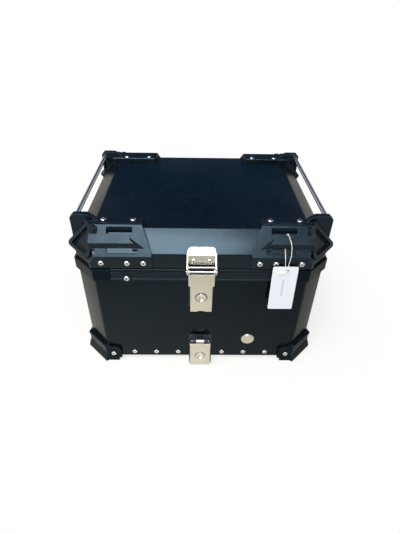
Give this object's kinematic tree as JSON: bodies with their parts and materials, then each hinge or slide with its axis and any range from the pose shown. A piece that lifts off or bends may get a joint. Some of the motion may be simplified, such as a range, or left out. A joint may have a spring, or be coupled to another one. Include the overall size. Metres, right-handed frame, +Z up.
{
  "type": "motorcycle top case",
  "caption": "Black aluminium luggage box for a motorcycle rack with a hinged lid, side rails, moulded corner brackets and feet, a keyed lid latch and a keyed lower latch.",
  "frame": {"origin": "centre of the flat underside, where it sits on the rack plate", "axes": "+Z up, -Y towards the latches (front), +X to the right seen from the front"},
  "size_m": [0.4724, 0.4098, 0.317],
  "materials": {
    "painted_sheet": "satin black powder coat on aluminium sheet",
    "black_extrusion": "satin black anodised extrusion",
    "black_plastic": "textured black moulding",
    "stainless": "fine brushed stainless",
    "polished_rail": "polished stainless rod",
    "rivet_alloy": "bright aluminium rivet",
    "hinge_steel": "black coated steel",
    "rubber_seal": "soft black rubber",
    "eva_foam": "black foam mat",
    "pale_nylon": "natural nylon",
    "card": "coated white card",
    "string": "thin waxed string",
    "clear_clip": "translucent plastic"
  },
  "bodies": {
    "root": {"body_wall": "painted_sheet", "floor_mat": "eva_foam", "floor_pan": "painted_sheet", "foot_back_left": "black_plastic", "foot_back_right": "black_plastic", "foot_front_left": "black_plastic", "foot_front_right": "black_plastic", "glide_studs": "pale_nylon", "hinge_body_leaf_left": "hinge_steel", "hinge_body_leaf_right": "hinge_steel", "hinge_pin_left": "hinge_steel", "hinge_pin_right": "hinge_steel", "latch_backing": "stainless", "latch_base": "stainless", "mount_base": "stainless", "mount_pin": "stainless", "port_cover": "stainless", "port_nut": "stainless", "rim_back": "black_extrusion", "rim_corner_back_left": "black_plastic", "rim_corner_back_right": "black_plastic", "rim_corner_front_left": "black_plastic", "rim_corner_front_right": "black_plastic", "rim_front": "black_extrusion", "rim_left": "black_extrusion", "rim_right": "black_extrusion", "rivets_body_fittings": "rivet_alloy", "rivets_feet": "rivet_alloy", "rivets_floor": "rivet_alloy", "rivets_rim": "rivet_alloy"},
    "lid": {"bracket_back_left": "black_plastic", "bracket_back_right": "black_plastic", "bracket_front_left": "black_plastic", "bracket_front_right": "black_plastic", "hinge_lid_leaf_left": "hinge_steel", "hinge_lid_leaf_right": "hinge_steel", "latch_cross_bar": "stainless", "latch_pin": "stainless", "lid_seal": "rubber_seal", "lid_shell": "painted_sheet", "rivets_bracket_skirts": "rivet_alloy", "rivets_bracket_tops": "rivet_alloy", "rivets_lid_fittings": "rivet_alloy", "side_rail_left": "polished_rail", "side_rail_right": "polished_rail", "strike_bracket": "stainless", "tag": "card", "tag_clip": "clear_clip", "tag_string": "string"},
    "latch_lever": {"latch_lever": "stainless", "latch_lock_carrier": "stainless", "latch_lock_barrel": "stainless"},
    "latch_lock": {"latch_lock_plug": "stainless", "latch_lock_cam": "stainless"},
    "mount_lever": {"mount_lever": "stainless", "mount_lock_carrier": "stainless", "mount_lock_barrel": "stainless"},
    "mount_lock": {"mount_lock_plug": "stainless", "mount_lock_cam": "stainless"}
  },
  "joints": [
    {"name": "lid_hinge", "type": "hinge", "parent": "root", "child": "lid", "pos_m": [0, 0.1965, 0.2265], "axis": [-1, 0, 0], "range_deg": [0, 95]},
    {"name": "latch_swing", "type": "hinge", "parent": "lid", "child": "latch_lever", "pos_m": [0, -0.205, 0.2304], "axis": [-1, 0, 0], "range_deg": [0, 110]},
    {"name": "latch_key", "type": "hinge", "parent": "latch_lever", "child": "latch_lock", "pos_m": [0, -0.2084, 0.1752], "axis": [0, 1, 0], "range_deg": [0, 90]},
    {"name": "mount_swing", "type": "hinge", "parent": "root", "child": "mount_lever", "pos_m": [0, -0.203, 0.057], "axis": [-1, 0, 0], "range_deg": [0, 100]},
    {"name": "mount_key", "type": "hinge", "parent": "mount_lever", "child": "mount_lock", "pos_m": [0, -0.2084, 0.0189], "axis": [0, 1, 0], "range_deg": [0, 90]}
  ]
}
